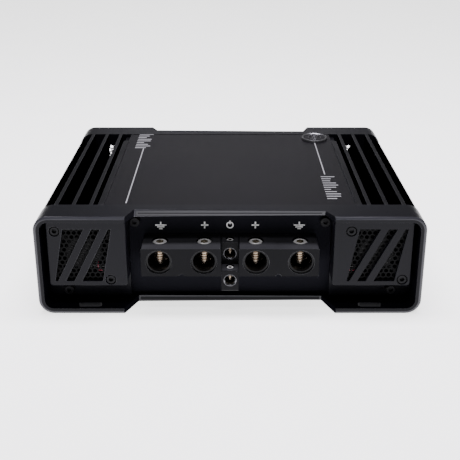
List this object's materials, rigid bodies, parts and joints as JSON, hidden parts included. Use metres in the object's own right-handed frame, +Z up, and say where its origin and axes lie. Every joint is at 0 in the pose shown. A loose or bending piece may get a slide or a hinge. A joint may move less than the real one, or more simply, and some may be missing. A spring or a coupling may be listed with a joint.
{
  "type": "car amplifier",
  "caption": "Low black finned car audio amplifier with end caps, twin fans, heavy power terminals at the front and signal inputs at the rear.",
  "frame": {"origin": "middle of the footprint, on the surface that the amplifier stands on", "axes": "+X to the right seen from the terminal end, +Y from the power terminals to the rear, +Z up"},
  "size_m": [0.216, 0.16, 0.0614],
  "materials": {
    "case_black": "satin powder coat",
    "anodised_black": "black anodised, fine brushed",
    "plate_black": "satin black, smooth",
    "moulded_black": "matt moulding",
    "mesh_black": "painted perforated sheet",
    "fan_black": "moulded plastic",
    "screw_black": "black oxide",
    "nickel": "bright nickel plate",
    "zinc": "zinc plate",
    "copper": "bare copper",
    "wire_red": "insulated wire",
    "board_green": "solder mask",
    "ferrite": "painted ring core",
    "can_black": "sleeved can",
    "pad_grey": "silicone pad",
    "knob_black": "ribbed knob",
    "lens_blue": "indicator lens"
  },
  "bodies": {
    "case": {"front_end_cap": "case_black", "rear_end_cap": "case_black", "heatsink_body": "anodised_black", "top_plate": "plate_black", "bottom_plate": "case_black", "front_panel": "case_black", "rear_panel": "case_black", "badge": "nickel", "fan_cover_left": "case_black", "fan_cover_right": "case_black", "vent_cover_left": "case_black", "vent_cover_right": "case_black", "fan_mesh_left": "mesh_black", "fan_mesh_right": "mesh_black", "vent_meshes": "mesh_black", "fan_frame_left": "fan_black", "fan_frame_right": "fan_black", "fan_leads": "wire_red", "power_block_left": "moulded_black", "power_block_right": "moulded_black", "power_terminals": "nickel", "remote_block": "moulded_black", "remote_sleeves": "nickel", "cover_screws": "screw_black", "end_cap_screws": "screw_black", "panel_screws": "screw_black", "bottom_screws": "screw_black", "bus_bars": "copper", "speaker_block": "moulded_black", "speaker_sleeves": "nickel", "control_pots": "zinc", "input_jacks": "nickel", "switch_body": "zinc", "indicator_lens": "lens_blue", "circuit_board": "board_green", "board_standoffs": "zinc", "transformer_core": "ferrite", "transformer_winding": "copper", "choke_core": "ferrite", "choke_winding": "copper", "filter_capacitors": "can_black", "power_transistors": "moulded_black", "insulating_pads": "pad_grey", "clamp_bars": "zinc", "clamp_screws": "zinc"},
    "rotor_left": {"fan_rotor_left": "fan_black"},
    "rotor_right": {"fan_rotor_right": "fan_black"},
    "power_screw_1": {"power_screw_1": "nickel"},
    "power_screw_2": {"power_screw_2": "nickel"},
    "power_screw_3": {"power_screw_3": "nickel"},
    "power_screw_4": {"power_screw_4": "nickel"},
    "remote_screw_upper": {"remote_screw_upper": "nickel"},
    "remote_screw_lower": {"remote_screw_lower": "nickel"},
    "speaker_screw_1": {"speaker_screw_1": "nickel"},
    "speaker_screw_2": {"speaker_screw_2": "nickel"},
    "gain_knob": {"gain_knob": "knob_black"},
    "lowpass_knob": {"lowpass_knob": "knob_black"},
    "boost_knob": {"boost_knob": "knob_black"},
    "switch_slider": {"switch_slider": "knob_black"}
  },
  "joints": [
    {"name": "fan_spin_left", "type": "hinge", "parent": "case", "child": "rotor_left", "pos_m": [-0.0818, -0.07, 0.0355], "axis": [0, 1, 0], "continuous": true},
    {"name": "fan_spin_right", "type": "hinge", "parent": "case", "child": "rotor_right", "pos_m": [0.0818, -0.07, 0.0355], "axis": [0, 1, 0], "continuous": true},
    {"name": "power_screw_1_travel", "type": "slide", "parent": "case", "child": "power_screw_1", "axis": [0, 0, 1], "range_m": [0, 0.0105]},
    {"name": "power_screw_2_travel", "type": "slide", "parent": "case", "child": "power_screw_2", "axis": [0, 0, 1], "range_m": [0, 0.0105]},
    {"name": "power_screw_3_travel", "type": "slide", "parent": "case", "child": "power_screw_3", "axis": [0, 0, 1], "range_m": [0, 0.0105]},
    {"name": "power_screw_4_travel", "type": "slide", "parent": "case", "child": "power_screw_4", "axis": [0, 0, 1], "range_m": [0, 0.0105]},
    {"name": "remote_screw_upper_travel", "type": "slide", "parent": "case", "child": "remote_screw_upper", "axis": [0, 0, 1], "range_m": [0, 0.0045]},
    {"name": "remote_screw_lower_travel", "type": "slide", "parent": "case", "child": "remote_screw_lower", "axis": [0, 0, 1], "range_m": [0, 0.0045]},
    {"name": "speaker_screw_1_travel", "type": "slide", "parent": "case", "child": "speaker_screw_1", "axis": [0, 0, 1], "range_m": [0, 0.006]},
    {"name": "speaker_screw_2_travel", "type": "slide", "parent": "case", "child": "speaker_screw_2", "axis": [0, 0, 1], "range_m": [0, 0.006]},
    {"name": "gain_turn", "type": "hinge", "parent": "case", "child": "gain_knob", "pos_m": [0.022, 0.065, 0.034], "axis": [0, 1, 0], "range_deg": [-140, 140]},
    {"name": "lowpass_turn", "type": "hinge", "parent": "case", "child": "lowpass_knob", "pos_m": [0.036, 0.065, 0.034], "axis": [0, 1, 0], "range_deg": [-140, 140]},
    {"name": "boost_turn", "type": "hinge", "parent": "case", "child": "boost_knob", "pos_m": [0.05, 0.065, 0.034], "axis": [0, 1, 0], "range_deg": [-140, 140]},
    {"name": "filter_switch_slide", "type": "slide", "parent": "case", "child": "switch_slider", "axis": [1, 0, 0], "range_m": [0, 0.003]}
  ]
}
